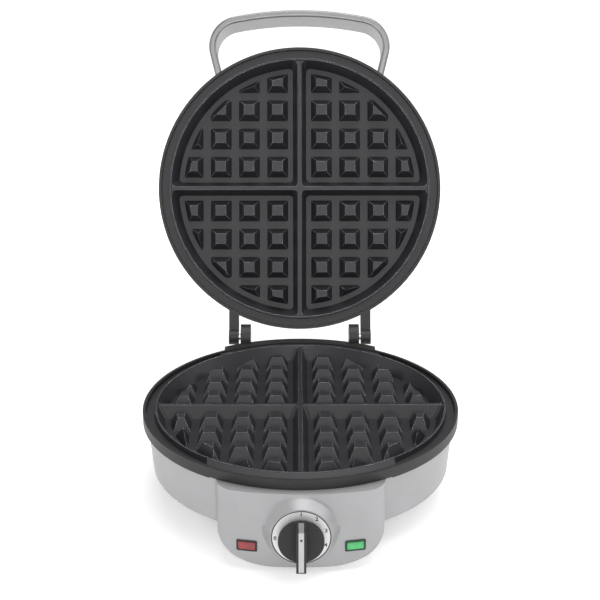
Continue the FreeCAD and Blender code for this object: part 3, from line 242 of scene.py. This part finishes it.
FINISH_OF_SLOT = {
    "base_housing": silver_paint(),
    "bottom_cover": black_plastic("cover_black", 0.03, (0.5, 0.65)),
    "rim": rim_plastic(),
    "grid": nonstick(),
    "element": plain("element_sheath", (0.3, 0.27, 0.24), 0.45, 0.9),
    "sheet": brushed("bright_sheet", 0.6, (1, 12, 1)),
    "screws": plain("zinc", (0.55, 0.55, 0.56), 0.3, 0.9),
    "feet": rubber(),
    "pins": satin_metal("pin_steel", 0.6, (0.2, 0.3), 1.0),
    "dial": satin_metal("dial_silver", 0.72, (0.45, 0.55), 0.3),
    "red_lens": lens_plastic("lens_red", (0.17, 0.009, 0.01), (0.3, 0.014, 0.016), 0.04),
    "green_lens": lens_plastic("lens_green", (0.02, 0.27, 0.07), (0.05, 0.42, 0.12), 0.12),
    "bezel": black_plastic("bezel_black", 0.015, (0.2, 0.3)),
    "lamp": plain("lamp_glass", (0.8, 0.7, 0.6), 0.1),
    "thermostat": plain("thermostat_ceramic", (0.7, 0.68, 0.62), 0.6),
    "fuse": plain("fuse_brass", (0.6, 0.48, 0.25), 0.35, 0.9),
    "terminal": plain("terminal_cream", (0.75, 0.72, 0.62), 0.5),
    "gland": rubber(),
    "knob": black_plastic("knob_black", 0.007, (0.45, 0.6)),
    "insert": satin_metal("insert_silver", 0.44, (0.32, 0.42)),
    "lid_cover": brushed("lid_steel", 0.4, (1, 14, 14), (0.34, 0.46)),
    "handle": satin_metal("handle_silver", 0.25, (0.3, 0.4), 0.92),
}
# The rounded edges of these slots have a finish of their own: a pale painted highlight on the
# grid's edges, and painted shade, a darker and dimmer rim, on the lenses.
PAINTED_EDGE_LIGHT_AND_SHADE = {
    # Painted highlight: a near-white coating put on the grid's rounded edges.
    "grid": nonstick("nonstick_painted_edge_highlight", 0.85, (0.25, 0.35)),
    # Painted shade: darker, dimmer copies of the lens finishes, put on the lens rims.
    "red_lens": lens_plastic("lens_red_painted_edge_shade", (0.09, 0.004, 0.006), (0.15, 0.008, 0.01), 0.02),
    "green_lens": lens_plastic("lens_green_painted_edge_shade", (0.0, 0.13, 0.03), (0.005, 0.22, 0.05), 0.05),
}
INK = black_plastic("dial_ink", 0.006, (0.4, 0.5))


# ---------------------------------------------------------------- pieces from the CAD nodes

def show(name, mesh, finish, body):
    """A piece of our own: its mesh, its finish, and the body that carries it."""
    mesh.materials.clear()
    mesh.materials.append(finish.material)
    piece = bpy.data.objects.new(name, mesh)
    bpy.context.collection.objects.link(piece)
    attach(piece, body)
    return piece


WELD_MM = 0.002
FLAT_WITHIN = math.radians(0.6)
ROUND_ABOVE = math.radians(28)


def crease_edges(mesh):
    """Join the node's facets into faces, and mark its outward edges to be rounded."""
    form = bmesh.new()
    form.from_mesh(mesh)
    bmesh.ops.remove_doubles(form, verts=form.verts, dist=WELD_MM * MM)
    bmesh.ops.dissolve_limit(form, angle_limit=FLAT_WITHIN, verts=form.verts,
                             edges=form.edges, delimit={"NORMAL"})
    weight = form.edges.layers.float.new("bevel_weight_edge")
    for edge in form.edges:
        if edge.calc_face_angle_signed(0) > ROUND_ABOVE:
            edge[weight] = 1
    form.to_mesh(mesh)
    form.free()


# Segments across an edge, and the angle in degrees above which two faces meet sharply.
CRISP_EDGE = (1, 14)
SOFT_EDGE = (3, 25)
CRISP_SLOTS = ("grid", "knob")


def rounded_copy(node, width_mm):
    """The node's shape with its outward edges rounded, shown in its place."""
    slot = SLOT_OF[node]
    segments, sharp = CRISP_EDGE if slot in CRISP_SLOTS else SOFT_EDGE
    mesh = NODES[node].data.copy()
    crease_edges(mesh)
    piece = show(node + "_look", mesh, FINISH_OF_SLOT[slot], BODY_OF[node])
    bevel = piece.modifiers.new("edges", "BEVEL")
    bevel.width = width_mm * MM
    bevel.segments = segments
    bevel.limit_method = "WEIGHT"
    bevel.use_clamp_overlap = True
    # The bevel faces get the painted edge highlight or the painted edge shade, where the slot has
    # one.
    if slot in PAINTED_EDGE_LIGHT_AND_SHADE:
        mesh.materials.append(PAINTED_EDGE_LIGHT_AND_SHADE[slot].material)
        bevel.material = 1
    rounded = bpy.data.meshes.new_from_object(
        piece.evaluated_get(bpy.context.evaluated_depsgraph_get()))
    piece.modifiers.remove(bevel)
    rounded.shade_smooth()
    rounded.set_sharp_from_angle(angle=math.radians(sharp))
    piece.data = rounded
    even = piece.modifiers.new("even_normals", "WEIGHTED_NORMAL")
    even.keep_sharp = True
    even.weight = 100
    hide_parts(node)


# Width of the rounded edge, for each node that has one.
ROUNDED_MM = {
    "base_housing": 0.5, "bottom_cover": 0.5, "lower_rim": 0.45, "upper_rim": 0.45,
    "lower_grid": 0.55, "upper_grid": 0.55, "handle": 0.3, "lid_cover": 0.2, "knob": 0.3,
    "knob_insert": 0.12, "dial_ring": 0.15, "power_lens": 0.9, "ready_lens": 0.9,
    "lens_bezels": 0.25, "rubber_feet": 0.6, "hinge_pins": 0.3, "cord_gland": 0.4,
}


def finish_nodes():
    for node, thing in NODES.items():
        if node in ROUNDED_MM:
            rounded_copy(node, ROUNDED_MM[node])
            continue
        thing.data.materials.clear()
        thing.data.materials.append(FINISH_OF_SLOT[SLOT_OF[node]].material)


PRINT_MM = 0.03
OUTLINE_MM = (0.85, 0.1)
DIGIT_MM = 4.2
DIGIT_BOLD_MM = 0.12
DIGIT_INSET_MM = 2.9
DOT_RADIUS_MM = 0.9
DOT_DROP_MM = 5.8
DIGIT_TURNS = (("1", 0), ("2", 36.5), ("3", 73), ("4", 109.5), ("5", 146), ("0", -92))


def flat_ring(name, centre, inner, outer, finish, body, steps=96):
    """A printed ring, or a disc where inner is 0, in a plane square to Y."""
    form = bmesh.new()
    rings = [[form.verts.new((centre.x + radius * math.sin(math.tau * step / steps), centre.y,
                              centre.z + radius * math.cos(math.tau * step / steps)))
              for step in range(steps)] for radius in (inner, outer) if radius]
    if inner:
        for step in range(steps):
            after = (step + 1) % steps
            form.faces.new((rings[0][step], rings[0][after], rings[1][after], rings[1][step]))
    else:
        form.faces.new(rings[0])
    mesh = bpy.data.meshes.new(name)
    form.to_mesh(mesh)
    form.free()
    show(name, mesh, finish, body)


def dial_marks():
    """Numbers 1 to 5 clockwise from the top, a 0 for off on the left, and a dark outline."""
    low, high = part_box("dial_ring")
    centre = (Vector(low) + Vector(high)) / 2
    centre.y = low[1] - PRINT_MM * MM
    edge = (high[0] - low[0]) / 2
    inner, outer = (edge - inset * MM for inset in OUTLINE_MM)
    flat_ring("dial_outline", centre, inner, outer, INK, "base")
    reach = edge - DIGIT_INSET_MM * MM
    for text, turn in DIGIT_TURNS:
        curve = bpy.data.curves.new("dial_mark_" + text, "FONT")
        curve.body = text
        curve.size = DIGIT_MM * MM
        curve.extrude = PRINT_MM * MM
        curve.offset = DIGIT_BOLD_MM * MM
        curve.align_x = "CENTER"
        curve.align_y = "CENTER"
        curve.materials.append(INK.material)
        piece = bpy.data.objects.new("dial_mark_" + text, curve)
        angle = math.radians(turn)
        piece.location = centre + reach * Vector((math.sin(angle), 0, math.cos(angle)))
        piece.rotation_euler = (math.radians(90), 0, 0)
        bpy.context.collection.objects.link(piece)
        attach(piece, "base")
    low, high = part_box("knob_insert")
    spot = Vector(((low[0] + high[0]) / 2, low[1] - PRINT_MM * MM, high[2] - DOT_DROP_MM * MM))
    flat_ring("knob_dot", spot, 0, DOT_RADIUS_MM * MM, INK, "knob")


# ---------------------------------------------------------------- studio

FLOOR_HALF = 9
SKY_STRENGTH = 0.42
# Name, place, what it faces, width and height, watts.
LAMPS = (
    ("overhead", (0.15, 0.1, 1.6), (0, 0.05, 0.1), (1.6, 1.2), 17),
    ("front_panel", (0.05, -2.2, 1.15), (0, 0.1, 0.15), (1.3, 0.9), 17),
    ("left_panel", (-1.6, -0.3, 0.8), (0, 0, 0.1), (0.5, 1.2), 5),
    ("right_strip", (1.3, 0.1, 1.0), (0, 0, 0.1), (0.4, 1.2), 6),
)
CAMERA_MM = (-3.9, -974.4, 541.8)
CAMERA_DOWN = 21.55
CAMERA_TURN = -0.21
SENSOR_MM = 36
LENS_MM = 81.97


def studio():
    floor_mesh = bpy.data.meshes.new("floor")
    low = CAD_BOX[0][2]
    corners = [(FLOOR_HALF * across, FLOOR_HALF * along, low)
               for across, along in ((-1, -1), (1, -1), (1, 1), (-1, 1))]
    floor_mesh.from_pydata(corners, [], [(0, 1, 2, 3)])
    floor_mesh.materials.append(white_floor().material)
    floor = bpy.data.objects.new("floor", floor_mesh)
    bpy.context.collection.objects.link(floor)
    world = bpy.data.worlds.new("studio")
    bpy.context.scene.world = world
    world.use_nodes = True
    world.node_tree.nodes["Background"].inputs["Color"].default_value = (1, 1, 1, 1)
    world.node_tree.nodes["Background"].inputs["Strength"].default_value = SKY_STRENGTH
    for name, at, aim, size, watts in LAMPS:
        lamp = bpy.data.lights.new(name, "AREA")
        lamp.shape = "RECTANGLE"
        lamp.size, lamp.size_y = size
        lamp.energy = watts
        thing = bpy.data.objects.new(name, lamp)
        thing.location = at
        thing.rotation_euler = (Vector(aim) - Vector(at)).to_track_quat("-Z", "Y").to_euler()
        bpy.context.collection.objects.link(thing)


def camera():
    lens = bpy.data.cameras.new("camera")
    lens.sensor_width = SENSOR_MM
    lens.lens = LENS_MM
    thing = bpy.data.objects.new("camera", lens)
    thing.location = MM * Vector(CAMERA_MM)
    thing.rotation_euler = (math.radians(90 - CAMERA_DOWN), 0, math.radians(CAMERA_TURN))
    bpy.context.collection.objects.link(thing)
    bpy.context.scene.camera = thing


finish_nodes()
dial_marks()
studio()
camera()
bpy.context.scene.view_settings.view_transform = "Standard"
bpy.context.view_layer.update()
